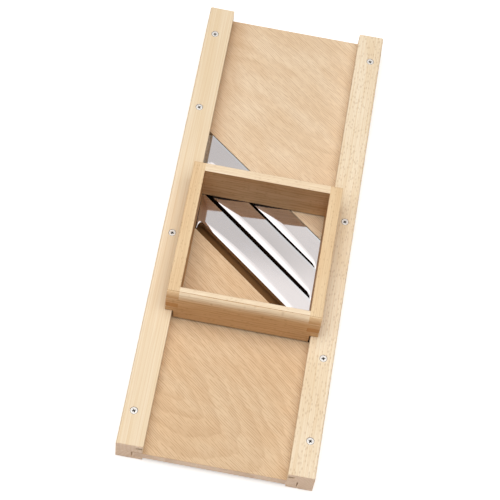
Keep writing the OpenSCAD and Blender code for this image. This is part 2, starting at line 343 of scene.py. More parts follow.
@dataclass(frozen=True)
class BeechFinish(Finish):
    """Raw planed beech, whose pattern goes through the wood in all three directions.

    Attributes:
        name: Name of the material.
        grain: Way of the fibres.
        sawn: How the plank was cut.
        pale: Colour of the lightest wood.
        warm: Colour of the darker bands.
        streak: Colour of fine fibre lines.
        fleck: Colour of the ray flecks.
        end: Colour of the cut ends.
        figure: Length and width of the broad tonal figure.
        figure_share: Strength of that figure.
        line: Length and spacing of the fine fibre lines.
        line_share: Strength of the fine fibre lines.
        fleck_cell: Length and width of the cell that each fleck lies in.
        fleck_count: Share of the cells that have a fleck.
        fleck_share: Strength of the flecks.
        ring_gap: Distance between growth rings.
        ring_share: Strength of the growth rings.
        lean: How far the rings close up along the fibres: 0 gives straight bands, more gives ovals.
        start: Where in the log the piece was cut.
        painted_shade: How dark the faces that look down are painted, as shade.
        upright_shade: Tint of the painted shade multiplied onto the upright faces.
        left_rail_shade: How much painted shade, in the streaks' colour, the wood takes on towards the left
            rail.
    """

    name: str
    grain: Grain
    sawn: Sawn
    pale: Colour
    warm: Colour
    streak: Colour
    fleck: Colour
    end: Colour
    figure: Pair = (150.0, 18.0)
    figure_share: float = 0.8
    line: Pair = (34.0, 2.0)
    line_share: float = 0.35
    fleck_cell: Pair = (4.6, 1.7)
    fleck_count: float = 0.5
    fleck_share: float = 0.55
    ring_gap: float = 3.4
    ring_share: float = 0.16
    lean: float = 0.0
    start: Triple = (0.0, 40.0, 70.0)
    painted_shade: float = 0.0
    upright_shade: Colour = (1.0, 1.0, 1.0)
    left_rail_shade: float = 0.0

    # Sizes of the cells of finer noises, in millimetres
    PORE = (2.4, 0.16, 0.16)
    END_PORE = (0.4, 0.28, 0.28)
    END_RAY = (2.0, 0.5, 9.0)
    RING_SWAY = (120.0, 22.0, 22.0)

    # Where each pattern starts and where it is full
    BESIDE_RAIL = (38.0, 72.0)
    FIGURE_TONE = (0.34, 0.66)
    LINE_WIDTH = (0.3, 0.0)
    LINE_BREAK = (0.30, 0.58)
    LATE_WOOD = (0.25, 0.9)
    RING_END = (1.0, 0.93)
    FLECK_EDGE = (0.48, 0.06)
    END_PORE_TONE = (0.5, 0.75)
    END_RAY_TONE = (0.55, 0.75)

    # How a face has to lie, as the cosine to the fibres or to the upright
    END_FACE = (0.40, 0.60)
    UPRIGHT_FACE = (0.45, 0.05)
    UNDER_FACE = (-0.2, -0.8)

    # How many times larger the sway's cells are than the lines, and the flecks' cells are deep than wide
    SWAY_CELLS = 3
    FLECK_CELLS = 6

    # Strengths of the lesser patterns, of the relief and of the shine
    SWAY = 2.0
    WEAR_AND_STEP_SHADE = (0.1, 0.3)
    END_RING_SHARE, END_PORE_SHARE, END_RAY_SHARE = 0.2, 0.35, 0.3
    ROUGH, END_ROUGH = (0.52, 0.68), 0.12
    PORE_HEIGHT, LINE_DEPTH, FLECK_DEPTH = 0.5, 0.35, 0.3
    BUMP = (0.32, 0.12)
    SHINE = 0.3

    def shader(self, bench: NodeBench) -> Socket:
        """Gives the shader of the wood, made on a bench."""
        coordinates = bench.add("ShaderNodeTexCoord").outputs
        place = self._place(bench, coordinates["Object"])
        figure, lines = self._figure(bench, place), self._lines(bench, place)
        rings, flecks = self._rings(bench, place), self._flecks(bench, place)
        pores = bench.noise(place, self.PORE, detail=1.0)

        reach = (length * MM for length in self.BESIDE_RAIL)
        beside = bench.rise(bench.dot(coordinates["Object"], LEFT), *reach)
        side = bench.blend(figure, rgba(self.pale), rgba(self.warm))
        # Painted shade beside the left rail, in the streaks' colour.
        side = bench.blend(beside * self.left_rail_shade, side, rgba(self.streak))
        side = bench.blend(lines * self.line_share, side, rgba(self.streak))
        side = bench.blend(rings * self.ring_share, side, rgba(self.streak))
        side = bench.blend(flecks * self.fleck_share, side, rgba(self.fleck))

        along = bench.dot(coordinates["Normal"], self.grain.axis)
        ended = bench.rise(abs(along), *self.END_FACE)
        colour = bench.blend(ended, side, self._end_grain(bench, place, rings))
        # Rubbed arrises darken a little as wear; the feet of small steps are painted dark as shade.
        wear_and_step_shade = bench.attribute("arris") * bench.between(figure, *self.WEAR_AND_STEP_SHADE)
        colour = bench.blend(wear_and_step_shade, colour, rgba(self.streak))
        upward = bench.dot(coordinates["Normal"], UP)
        # Painted shade: the upright faces are tinted darker and warmer.
        upright = bench.rise(abs(upward), *self.UPRIGHT_FACE)
        colour = bench.blend(upright, colour, rgba(self.upright_shade), "MULTIPLY")
        # Painted shade: faces that look down are darkened towards black.
        down = bench.rise(upward, *self.UNDER_FACE)
        colour = bench.blend(down * self.painted_shade, colour, BLACK)

        rough = bench.between(pores, *self.ROUGH) + ended * self.END_ROUGH
        height = pores * self.PORE_HEIGHT - lines * self.LINE_DEPTH - flecks * self.FLECK_DEPTH
        return bench.surface(colour, rough, bench.bump(height, *self.BUMP), metal=0.0, shine=self.SHINE)

    def _place(self, bench: NodeBench, place: Socket) -> Socket:
        """Turns a place to lie along the fibres, in millimetres, and then as the plank lay in its log."""
        along = bench.millimetres(place, -self.grain.value)
        inputs = {"Vector": along, "Rotation": (self.sawn.value, 0, 0), "Location": self.start}
        return bench.add("ShaderNodeMapping", inputs).outputs["Vector"]

    def _figure(self, bench: NodeBench, place: Socket) -> Quantity:
        """Gives the broad wavy tone, from 0 to its full strength."""
        length, width = self.figure
        broad = bench.noise(place, (length, width, width), detail=3.0, roughness=0.55)
        return bench.rise(broad, *self.FIGURE_TONE) * self.figure_share

    def _lines(self, bench: NodeBench, place: Socket) -> Quantity:
        """Gives the fine darker lines along the fibres."""
        length, spacing = self.line
        sway_cell = tuple(self.SWAY_CELLS * size for size in (length, spacing, spacing))
        sway = bench.noise(place, sway_cell, detail=1.0)
        across = bench.dot(place, (0.0, 1.0, 1.0)) / spacing
        part = bench.math("FRACT", across + sway * self.SWAY)
        line = bench.rise(abs(part - 0.5), *self.LINE_WIDTH)
        broken = bench.noise(place, (length, spacing, spacing), detail=1.0)
        return line * bench.rise(broken, *self.LINE_BREAK)

    def _rings(self, bench: NodeBench, place: Socket) -> Quantity:
        """Gives the growth rings, each darkest at its late wood."""
        x, y, z = bench.parts(place)
        from_heart = bench.vector(x * self.lean, y, z)
        radius = bench.number("ShaderNodeVectorMath", {0: from_heart}, "Value", operation="LENGTH")
        sway = bench.noise(place, self.RING_SWAY)
        part = bench.math("FRACT", radius / self.ring_gap + sway * self.SWAY)
        return bench.rise(part, *self.LATE_WOOD) * bench.rise(part, *self.RING_END)

    def _flecks(self, bench: NodeBench, place: Socket) -> Quantity:
        """Gives the short flecks where wood rays come to the surface."""
        length, width = self.fleck_cell
        distance, own = bench.cells(place, (length, width, self.FLECK_CELLS * width))
        return bench.rise(distance, *self.FLECK_EDGE) * bench.math("LESS_THAN", own, self.fleck_count)

    def _end_grain(self, bench: NodeBench, place: Socket, rings: Quantity) -> Socket:
        """Gives the colour of the cut ends: rings, fine pores and the marks of the saw."""
        pores = bench.rise(bench.noise(place, self.END_PORE), *self.END_PORE_TONE)
        rays = bench.rise(bench.noise(place, self.END_RAY), *self.END_RAY_TONE)
        cut = bench.blend(rings * self.END_RING_SHARE, rgba(self.end), rgba(self.streak))
        cut = bench.blend(pores * self.END_PORE_SHARE, cut, rgba(self.fleck))
        return bench.blend(rays * self.END_RAY_SHARE, cut, rgba(self.pale))


@dataclass(frozen=True)
class BladeFinish(Finish):
    """Polished stainless steel with faint lines of polishing along the blade.

    Attributes:
        name: Name of the material.
        steel: Colour of the polished steel.
        ground: Colour of the freshly ground cutting edge.
        rough: Lowest and highest roughness of the polish.
        scratch: Colour of the light that fine scratches scatter.
        haze: Share of that light.
        haze_rough: Roughness of those scratches.
    """

    name: str = "polished_blade_steel"
    steel: Colour = (0.93, 0.900, 0.890)
    ground: Colour = (0.93, 0.93, 0.93)
    rough: Pair = (0.03, 0.06)
    scratch: Colour = (0.72, 0.80, 0.96)
    haze: float = 0.07
    haze_rough: float = 0.45

    POLISH = (30.0, 0.35, 5.0)
    SMEAR = (26.0, 11.0, 10.0)
    SMEAR_TONE = (0.52, 0.72)
    SMEAR_ROUGH = 0.02
    SMEAR_HAZE = 0.04
    BUMP = (0.05, 0.02)

    def shader(self, bench: NodeBench) -> Socket:
        """Gives the shader of the steel, made on a bench."""
        place = bench.millimetres(bench.add("ShaderNodeTexCoord").outputs["Object"], BLADE_ANGLE)
        polish = bench.noise(place, self.POLISH, detail=3.0, roughness=0.6)
        smears = bench.noise(place, self.SMEAR, detail=3.0, roughness=0.6)
        smear = bench.rise(smears, *self.SMEAR_TONE)

        colour = bench.blend(bench.attribute("ground"), rgba(self.steel), rgba(self.ground))
        rough = bench.between(polish, *self.rough) + smear * self.SMEAR_ROUGH
        normal = bench.bump(polish, *self.BUMP)
        mirror = bench.surface(colour, rough, normal, metal=1.0)
        scratches = bench.surface(rgba(self.scratch), self.haze_rough, normal, metal=1.0)
        share = smear * self.SMEAR_HAZE + self.haze
        return bench.add("ShaderNodeMixShader", {0: share, 1: mirror, 2: scratches}).outputs[0]


@dataclass(frozen=True)
class ScrewFinish(Finish):
    """Bright zinc plating, a little cloudy and scuffed.

    Attributes:
        name: Name of the material.
        zinc: Colour of the plating.
        dull: Colour of its cloudy spots.
        painted_shade: Colour of the painted shade in the depth of the recess and on the rim.
        metal: Share of bare metal in the cloudy plating.
        rough: Lowest and highest roughness of the plating.
    """

    name: str = "bright_zinc_plate"
    zinc: Colour = (0.985, 0.970, 0.950)
    dull: Colour = (0.930, 0.920, 0.905)
    painted_shade: Colour = (0.16, 0.15, 0.15)
    metal: float = 0.4
    rough: Pair = (0.22, 0.34)

    CLOUD = (1.6, 1.6, 1.6)
    CLOUD_TONE = (0.42, 0.66)
    SCUFF = (0.2, 1.2, 0.5)
    SCUFF_ROUGH = 0.08
    BUMP = (0.15, 0.03)

    def shader(self, bench: NodeBench) -> Socket:
        """Gives the shader of the plating, made on a bench."""
        place = bench.millimetres(bench.add("ShaderNodeTexCoord").outputs["Object"])
        cloudy = bench.rise(bench.noise(place, self.CLOUD, detail=3.0), *self.CLOUD_TONE)
        scuffs = bench.noise(place, self.SCUFF)
        colour = bench.blend(cloudy, rgba(self.zinc), rgba(self.dull))
        # Painted shade in the depth of the cross recess and round the rim.
        colour = bench.blend(bench.attribute("grime"), colour, rgba(self.painted_shade))
        rough = bench.between(cloudy, *self.rough) + scuffs * self.SCUFF_ROUGH
        return bench.surface(colour, rough, bench.bump(scuffs, *self.BUMP), self.metal)


@dataclass
class PlanedWood:
    """One wooden piece: its solid with the open arrises softened, as by a block plane.

    Attributes:
        node: Name of the solid.
        body: Body that the piece moves with.
        slot: Not used.
        finish: Its wood.
        arris: Width of a softened arris.
        cuts: Places along the rails where an edge changes from open to joined.
    """

    node: str
    body: str
    slot: str
    finish: BeechFinish
    arris: float
    cuts: tuple[float, ...] = ()

    # The merging distance is in metres, the lengths after the angles in millimetres
    MERGE = 1e-6
    FLAT_ANGLE = math.radians(0.5)
    SHARP_ANGLE = math.radians(50)
    SHORTEST = 1.2
    NARROW = 1.0
    PROBE = 0.4
    STEP = 0.6
    # Mark of the foot of a small step, which paints it dark as shade in the streaks' colour
    STEP_SHADE = 4.0

    def build(self, neighbours: BVHTree) -> bpy.types.Object:
        """Makes the piece.

        Args:
            neighbours: All wooden solids, to find the arrises that stand open.

        Returns:
            The piece, in place of its solid.
        """
        mesh = bmesh.new()
        mesh.from_mesh(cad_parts[self.node].data)
        bmesh.ops.remove_doubles(mesh, verts=mesh.verts, dist=self.MERGE)
        bmesh.ops.dissolve_limit(mesh, angle_limit=self.FLAT_ANGLE, verts=mesh.verts, edges=mesh.edges)
        for place in self.cuts:
            everything = [*mesh.verts, *mesh.edges, *mesh.faces]
            bmesh.ops.bisect_plane(mesh, geom=everything, plane_co=(0, place * MM, 0), plane_no=FAR)
        self._soften(mesh, neighbours)
        self._shade(mesh)
        data = bpy.data.meshes.new(self.node + "_wood")
        mesh.to_mesh(data)
        mesh.free()
        return placed(self.node + "_wood", data)

    def _soften(self, mesh: bmesh.types.BMesh, neighbours: BVHTree) -> None:
        """Bevels the open arrises, and marks the new faces, and the feet of small steps to be painted dark as
        shade.
        """
        mark = mesh.faces.layers.float.new("arris")
        mesh.normal_update()
        open_edges = [e for e in mesh.edges if self._is_open(e, neighbours)]
        made = bmesh.ops.bevel(
            mesh, geom=open_edges, offset=self.arris * MM, offset_type="OFFSET", segments=3, profile=0.5,
            affect="EDGES", clamp_overlap=False)
        for face in made["faces"]:
            face[mark] = 1.0
        for face in filter(self._is_step, mesh.faces):
            feet = [edge for edge in face.edges if not edge.is_convex]
            for dark in (face, *(other for edge in feet for other in edge.link_faces)):
                if self._width(dark) < self.STEP * MM:
                    dark[mark] = self.STEP_SHADE

    def _is_open(self, edge: bmesh.types.BMEdge, neighbours: BVHTree) -> bool:
        """Says whether an edge is a long outer arris with no other wood standing flush against it."""
        if len(edge.link_faces) != 2 or edge.calc_length() < self.SHORTEST * MM:
            return False
        if not edge.is_convex or edge.calc_face_angle() < self.SHARP_ANGLE:
            return False
        if any(self._width(face) < 2 * self.arris * MM for face in edge.link_faces):
            return False
        middle = (edge.verts[0].co + edge.verts[1].co) / 2
        first, second = (face.normal for face in edge.link_faces)
        reach = self.PROBE * MM
        probes = (middle + first * reach - second * reach / 2, middle + second * reach - first * reach / 2)
        return not any(inside(probe, neighbours) for probe in probes)

    def _is_step(self, face: bmesh.types.BMFace) -> bool:
        """Says whether a face is the low side of a small step, where shade is painted."""
        longest = sorted(face.edges, key=lambda edge: edge.calc_length())[-2:]
        sharp = all(edge.is_manifold and edge.calc_face_angle() > self.SHARP_ANGLE for edge in longest)
        return sharp and self._width(face) < self.STEP * MM

    @staticmethod
    def _width(face: bmesh.types.BMFace) -> float:
        """Gives about how wide a face is, square to its longest edge."""
        return face.calc_area() / max(edge.calc_length() for edge in face.edges)

    def _shade(self, mesh: bmesh.types.BMesh) -> None:
        """Shades narrow facets as parts of a round, and the broad faces flat."""
        for face in mesh.faces:
            face.smooth = self._width(face) < self.NARROW * MM
        for edge in mesh.edges:
            edge.smooth = not edge.is_manifold or edge.calc_face_angle() < self.SHARP_ANGLE

    def dress(self, piece: bpy.types.Object) -> None:
        """Gives the piece its wood and ties it to its body.

        Args:
            piece: The built piece.
        """
        piece.data.materials.append(self.finish.material())
        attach(piece, self.body)
        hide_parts(self.node)


def inside(point: Vector, solids: BVHTree) -> bool:
    """Says whether a point lies in one of many closed solids.

    Args:
        point: The point.
        solids: The faces of the solids, pointing outwards.

    Returns:
        True where the next face along a slanting ray is left from within.
    """
    ray = Vector((0.371, 0.557, 0.743)).normalized()
    _, normal, _, _ = solids.ray_cast(point, ray)
    return normal is not None and normal.dot(ray) > 0


def wooden_faces(names: list[str]) -> BVHTree:
    """Gathers the faces of several solids for probing.

    Args:
        names: Names of the solids.

    Returns:
        A tree of all their faces.
    """
    mesh = bmesh.new()
    for name in names:
        mesh.from_mesh(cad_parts[name].data)
    tree = BVHTree.FromBMesh(mesh)
    mesh.free()
    return tree


CREAM: Colour = (0.937, 0.875, 0.772)
STRAW: Colour = (0.905, 0.822, 0.690)
HONEY: Colour = (0.925, 0.840, 0.725)
TAN: Colour = (0.868, 0.752, 0.612)
UMBER: Colour = (0.660, 0.500, 0.345)
FLECK: Colour = (0.700, 0.560, 0.400)
END_ROSE: Colour = (0.958, 0.893, 0.832)


@dataclass
class Rails:
    """The two rails: side rails below and guide strips above.

    Attributes:
        arris: Width of the softened arrises.
        right_pale: Lightest wood of the right strip and the side rails, a little paler than the left strip's.
        streak: Colour of their fibre lines.
    """

    arris: float = 0.5
    right_pale: Colour = (0.960, 0.908, 0.815)
    streak: Colour = (0.85, 0.72, 0.54)

    def pieces(self) -> list[PlanedWood]:
        """Lists the wooden pieces of both rails."""
        # Painted shade darkens the faces of the rails that look down.
        wood = dict(
            grain=Grain.ALONG_RAILS, warm=STRAW, streak=self.streak, fleck=FLECK, end=END_ROSE, painted_shade=0.7)
        left = BeechFinish(
            "left_strip_beech", sawn=Sawn.QUARTER, pale=CREAM, fleck_count=0.0, figure=(240.0, 7.0),
            line=(70.0, 2.4), line_share=0.28, **wood)
        right = BeechFinish(
            "right_strip_beech", sawn=Sawn.FLAT, pale=self.right_pale, fleck_cell=(4.9, 2.2),
            fleck_count=0.95, fleck_share=0.37, start=(35.0, -86.0, 90.0), **wood)
        lower = BeechFinish(
            "side_rail_beech", sawn=Sawn.RIFT, pale=self.right_pale, fleck_count=0.4,
            start=(70.0, 15.0, 60.0), **wood)
        return [
            PlanedWood(node, FRAME_BODY, slot, finish, self.arris)
            for node, slot, finish in (
                ("left_side_rail", "rail_beech", lower), ("right_side_rail", "rail_beech", lower),
                ("left_guide_strip", "strip_beech", left), ("right_guide_strip", "strip_beech", right))]


@dataclass
class Boards:
    """The two boards, whose fibres lie along the blades.

    Attributes:
        arris: Width of the softened arrises.
        near_pale: Lightest wood of the near board, a little darker than the far one's.
        near_warm: Its darker bands.
        far_heart: Where on the far board the oval rings close up.
        near_heart: Where they do for the near board, which is below the left rail.
    """

    arris: float = 0.35
    near_pale: Colour = (0.878, 0.775, 0.642)
    near_warm: Colour = (0.842, 0.711, 0.560)
    far_heart: Pair = (2.0, 160.0)
    near_heart: Pair = (-88.0, -165.0)

    HEART_DEPTH = 10.0

    def _hearted(self, x: float, y: float) -> Triple:
        """Gives the start in the log that puts the closed rings at a place on a board."""
        turn = -Grain.ALONG_BLADES.value
        along = x * math.cos(turn) - y * math.sin(turn)
        across = x * math.sin(turn) + y * math.cos(turn)
        return (-along, -across, -self.HEART_DEPTH)

    def pieces(self) -> list[PlanedWood]:
        """Lists both boards."""
        wood = dict(
            grain=Grain.ALONG_BLADES, sawn=Sawn.FLAT, streak=UMBER, fleck=FLECK, end=END_ROSE,
            figure=(60.0, 26.0), figure_share=0.5, line=(9.0, 1.9), lean=0.37, fleck_cell=(7.0, 1.5),
            fleck_count=0.2, fleck_share=0.2, ring_gap=10.0)
        # The far board is painted with shade beside the left rail.
        far = BeechFinish(
            "far_board_beech", pale=HONEY, warm=TAN, left_rail_shade=0.45, line_share=0.42, ring_share=0.09,
            start=self._hearted(*self.far_heart), **wood)
        near = BeechFinish(
            "near_board_beech", pale=self.near_pale, warm=self.near_warm, line_share=0.5, ring_share=0.16,
            start=self._hearted(*self.near_heart), **wood)
        return [
            PlanedWood(node, FRAME_BODY, "board_beech", finish, self.arris)
            for node, finish in (("far_board", far), ("near_board", near))]


@dataclass
class Carriage:
    """The sliding box: two side walls and two end walls with finger joints.

    Attributes:
        arris: Width of the softened arrises.
        well_ends: Near and far end of the open well along the rails.
        cut: Colour of the cut ends in the finger joints.
        upright_shade: Tint of the painted shade on the upright faces.
    """

    arris: float = 0.6
    well_ends: Pair = (-102.5, 32.5)
    cut: Colour = (0.88, 0.750, 0.585)
    upright_shade: Colour = (0.890, 0.790, 0.675)

    def pieces(self) -> list[PlanedWood]:
        """Lists the four walls."""
        # Painted shade darkens the walls' upright faces and those that look down.
        wood = dict(fleck=FLECK, end=self.cut, painted_shade=0.85, upright_shade=self.upright_shade)
        side = BeechFinish(
            "carriage_side_beech", Grain.ALONG_RAILS, Sawn.FLAT, pale=(0.922, 0.830, 0.685),
            warm=(0.880, 0.762, 0.604), streak=(0.77, 0.62, 0.44), fleck_cell=(4.0, 1.6),
            fleck_count=0.45, fleck_share=0.4, start=(20.0, 30.0, 80.0), **wood)
        end = BeechFinish(
            "carriage_end_beech", Grain.ACROSS_CUTTER, Sawn.RIFT, pale=(0.970, 0.915, 0.820),
            warm=(0.938, 0.860, 0.738), streak=(0.76, 0.60, 0.42), line=(18.0, 1.8), line_share=0.45,
            fleck_count=0.3, fleck_share=0.3, start=(0.0, 120.0, 60.0), **wood)
        return [
            PlanedWood(
                f"carriage_{wall}_wall", CARRIAGE_BODY, "carriage_beech", finish, self.arris, self.well_ends)
            for wall, finish in (("left", side), ("right", side), ("rear", end), ("front", end))]


class GeometryRule:
    """A geometry tree with named inputs that makes one mesh."""

    KINDS = {float: "NodeSocketFloat", int: "NodeSocketInt", bpy.types.Material: "NodeSocketMaterial"}

    def __init__(self, name: str) -> None:
        """Makes an empty tree with a geometry that goes in and one that comes out."""
        self.tree = bpy.data.node_groups.new(name, "GeometryNodeTree")
        self.bench = NodeBench(self.tree)
        for way in ("INPUT", "OUTPUT"):
            self.tree.interface.new_socket("Geometry", in_out=way, socket_type="NodeSocketGeometry")
        self.source = self.tree.nodes.new("NodeGroupInput")
        self.inputs: dict[str, str] = {}

    def input(self, name: str, kind: type) -> Socket:
        """Adds a named input.

        Args:
            name: Name of the input.
            kind: Whether it takes a number, a count or a material.

        Returns:
            The socket that carries it in the tree.
        """
        made = self.tree.interface.new_socket(name, in_out="INPUT", socket_type=self.KINDS[kind])
        self.inputs[name] = made.identifier
        return self.source.outputs[name]

    def sizes(self, *names: str) -> list[Quantity]:
        """Adds a named input for each of several numbers."""
        return [Quantity(self.bench, self.input(name, float)) for name in names]

    def shaped(self, flat: Socket, mark: str, share: Quantity, place: Socket) -> Socket:
        """Marks each point of a flat mesh and moves it.

        Args:
            flat: The flat mesh.
            mark: Name of the mark.
            share: What each point is marked with.
            place: Where each point goes.

        Returns:
            The shaped mesh.
        """
        marked = self.bench.add("GeometryNodeStoreNamedAttribute", {
            "Geometry": flat, "Name": mark, "Value": share})
        moved = self.bench.add("GeometryNodeSetPosition", {"Geometry": marked.outputs[0], "Position": place})
        return moved.outputs[0]

    def close(self, geometry: Socket, sharp: float) -> None:
        """Ends the tree: instances become real, rounds are shaded smooth and the finish is set.

        Args:
            geometry: What the tree has made.
            sharp: Angle at which an edge stays sharp.
        """
        bench = self.bench
        made = bench.add("GeometryNodeRealizeInstances", {"Geometry": geometry}).outputs[0]
        angle = bench.add("GeometryNodeInputMeshEdgeAngle").outputs["Unsigned Angle"]
        soft = bench.add("FunctionNodeCompare", {"A": angle, "B": sharp}, operation="LESS_THAN").outputs[0]
        for domain, smooth in (("FACE", True), ("EDGE", soft)):
            inputs = {"Geometry": made, "Shade Smooth": smooth}
            made = bench.add("GeometryNodeSetShadeSmooth", inputs, domain=domain).outputs[0]
        finish = self.input("finish", bpy.types.Material)
        painted = bench.add("GeometryNodeSetMaterial", {"Geometry": made, "Material": finish})
        bench.add("NodeGroupOutput", {"Geometry": painted.outputs[0]})

    def make(self, name: str, base: bpy.types.Mesh, values: dict[str, object]) -> bpy.types.Object:
        """Runs the tree and keeps its result as a plain mesh.

        Args:
            name: Name of the piece.
            base: Mesh that the tree starts from.
            values: What the named inputs are set to.

        Returns:
            The piece, with no modifier on it.
        """
        holder = placed(name + "_rule", base)
        modifier = holder.modifiers.new("rule", "NODES")
        modifier.node_group = self.tree
        for label, socket in self.inputs.items():
            modifier[socket] = values[label]
        graph = bpy.context.evaluated_depsgraph_get()
        mesh = bpy.data.meshes.new_from_object(holder.evaluated_get(graph), depsgraph=graph)
        bpy.data.objects.remove(holder)
        mesh.name = name
        return placed(name, mesh)


@dataclass
class Blades:
    """The three blades: strips with flat ends, pressed up towards their far, cutting edges.

    Attributes:
        places: Near edge of each blade, measured square to the blades from the middle of the cutter,
            and how far its flat ends come forward to close the slot before it.
        half_length: Reach of a blade to either side.
        width: Width of a blade.
        thickness: Thickness of the steel.
        fold: Height of the fold that hangs from the near edge.
        edge_thickness: Thickness left at the cutting edge.
        edge_grind: Width of the ground taper.
        end_top: Height of the top of the flat ends.
        press_rise: Rise of the pressed part above the flat ends.
        cut_top: Height of the cutting edge.
        press_end: Place to either side where the pressed part has run out.
        run_out: Length over which it runs out.
        left_flare: Length over which the near edge comes forward at the left.
        right_flare: The same at the right.
        flare_margin: Distance from a run-out to where the near edge has come fully forward.
        lip_width: Width of the near edge that is rounded down, where it is widest.
        lip_middle: Place where the rounded edge is widest.
        lip_reach: Distance from there to where it would end.
        edge_bow: How far the middle of the near edge is drawn back by the press.
    """

    places: dict[str, Pair] = field(default_factory=lambda: {
        "near_blade": (-35.25, 9.6), "middle_blade": (-7.25, 4.8), "far_blade": (19.15, 3.2)})
    half_length: float = 78.0
    width: float = 23.0
    thickness: float = 1.2
    fold: float = 5.5
    edge_thickness: float = 0.2
    edge_grind: float = 3.0
    end_top: float = 13.3
    press_rise: float = 0.9
    cut_top: float = 17.0
    press_end: float = 68.5
    run_out: float = 3.0
    left_flare: float = 6.0
    right_flare: float = 4.0
    flare_margin: float = 3.0
    lip_width: float = 7.6
    lip_middle: float = 10.0
    lip_reach: float = 80.0
    edge_bow: float = 0.9

    # Extra slope of the rounded edge at its tip, and its least width as a share
    LIP_SLOPE = 0.2
    LIP_LEAST = 0.3
    COLUMNS = 313
    ROW_GAP = 0.25
    SHARP_ANGLE = math.radians(35)

    def rule(self) -> GeometryRule:
        """Builds the tree that folds and presses one blade out of a flat box of steel.

        Returns:
            The tree, whose inputs are the sizes of the blade in metres.
        """
        rule = GeometryRule("pressed_blade")
        bench = rule.bench
        half, width, thick, fold = rule.sizes("half_length", "width", "thickness", "fold")
        place, come_forward, bow, angle = rule.sizes("edge_place", "edge_flare", "edge_bow", "angle")

        sheet = width + fold
        steel = bench.add("GeometryNodeMeshCube", {
            "Size": bench.vector(half * 2.0, sheet, thick), "Vertices X": rule.input("columns", int),
            "Vertices Y": rule.input("rows", int), "Vertices Z": 2})
        x, flat_y, flat_z = bench.parts(bench.add("GeometryNodeInputPosition").outputs[0])
        under = bench.math("LESS_THAN", flat_z, 0.0)
        from_fold = flat_y + sheet * 0.5
        hanging = bench.rise(from_fold, fold, 0.0, smooth=False)
        pressed, flared = self._pressed(rule, x)

        above = bench.math("MAXIMUM", from_fold - fold, 0.0)
        inner = thick * ((pressed + 1.0) * 0.5)
        below = bench.between(hanging, thick, inner) + (above - above * (thick / width))
        behind = bench.between(under, above, below)
        ahead = width - behind
        share = ahead / width
        forward = flared * come_forward * share

        taper, ground = self._taper(rule, ahead, thick)
        depth = bench.between(hanging, under * taper, thick + fold * pressed)
        z = self._top(rule, x, behind, forward, pressed) - depth
        drawn = (1.0 - bench.math("POWER", abs(x) / half, 2.0)) * bow
        across = place + behind + (drawn * share - forward)
        y = (across - x * bench.math("SINE", angle)) / bench.math("COSINE", angle)
        shaped = rule.shaped(steel.outputs["Mesh"], "ground", ground, bench.vector(x, y, z))
        rule.close(shaped, self.SHARP_ANGLE)
        return rule

    def _taper(self, rule: GeometryRule, ahead: Quantity, thick: Quantity) -> tuple[Quantity, Quantity]:
        """Grinds the cutting edge.

        Args:
            rule: The tree of the blade.
            ahead: Distance to the cutting edge.
            thick: Thickness of the steel.

        Returns:
            The thickness that is left, and how far a place belongs to the ground taper.
        """
        edge_thick, grind = rule.sizes("edge_thickness", "edge_grind")
        full = rule.bench.math("MINIMUM", ahead / grind, 1.0)
        return edge_thick + (thick - edge_thick) * full, 1.0 - full

    def _pressed(self, rule: GeometryRule, x: Quantity) -> tuple[Quantity, Quantity]:
        """Runs the pressed part out towards the flat ends.

        Args:
            rule: The tree of the blade.
            x: Place across the cutter.

        Returns:
            How far a blade is pressed up there, and how far its near edge has come forward, as shares.
        """
        bench = rule.bench
        end, run_out, margin = rule.sizes("press_end", "run_out", "flare_margin")
        full = end - run_out
        closed = full - margin
        corners = []
        for outward, flare in zip((x * -1.0, x), rule.sizes("left_flare", "right_flare")):
            out = bench.rise(outward, closed - flare, closed, smooth=False)
            corners.append(bench.math("SQRT", 1.0 - out * out))
        left, right = corners
        return bench.rise(abs(x), end, full), 2.0 - (left + right)

    def _top(
        self, rule: GeometryRule, x: Quantity, behind: Quantity, forward: Quantity, pressed: Quantity
    ) -> Quantity:
        """Gives the height of the top of a blade.

        Args:
            rule: The tree of the blade.
            x: Place across the cutter.
            behind: Distance behind the near edge.
            forward: How far the steel has come forward there, along its slope.
            pressed: How far the blade is pressed up there.

        Returns:
            The height, with the pressed slope and the rounded near edge.
        """
        bench = rule.bench
        end_top, press, slope = rule.sizes("end_top", "press_rise", "slope")
        lip, middle, reach = rule.sizes("lip_width", "lip_middle", "lip_reach")
        lip_slope, least = rule.sizes("lip_slope", "lip_least")

        outward = (x - middle) / reach
        lip_here = lip * bench.math("MAXIMUM", 1.0 - outward * outward, least)
        inward = bench.math("MAXIMUM", 1.0 - behind / lip_here, 0.0)
        drop = inward * inward * (lip_here * 0.5 * lip_slope)
        return end_top + pressed * (press + slope * (behind - forward) - drop)

    def build(self) -> dict[str, bpy.types.Object]:
        """Presses the three blades.

        Returns:
            Each blade by the name of its solid.
        """
        rule = self.rule()
        shared = {
            **metres(self), "slope": (self.cut_top - self.end_top - self.press_rise) / self.width,
            "lip_slope": self.LIP_SLOPE, "lip_least": self.LIP_LEAST, "angle": BLADE_ANGLE,
            "columns": self.COLUMNS, "rows": round((self.width + self.fold) / self.ROW_GAP) + 1,
            "finish": BladeFinish().material()}
        made = {}
        for node, (edge, flare) in self.places.items():
            values = {**shared, "edge_place": edge * MM, "edge_flare": flare * MM}
            made[node] = rule.make(node + "_steel", bpy.data.meshes.new(node + "_base"), values)
        return made

    def dress(self, pieces: dict[str, bpy.types.Object]) -> None:
        """Ties the blades to the frame.

        Args:
            pieces: Each blade by the name of its solid.
        """
        for node, piece in pieces.items():
            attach(piece, FRAME_BODY)
            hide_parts(node)


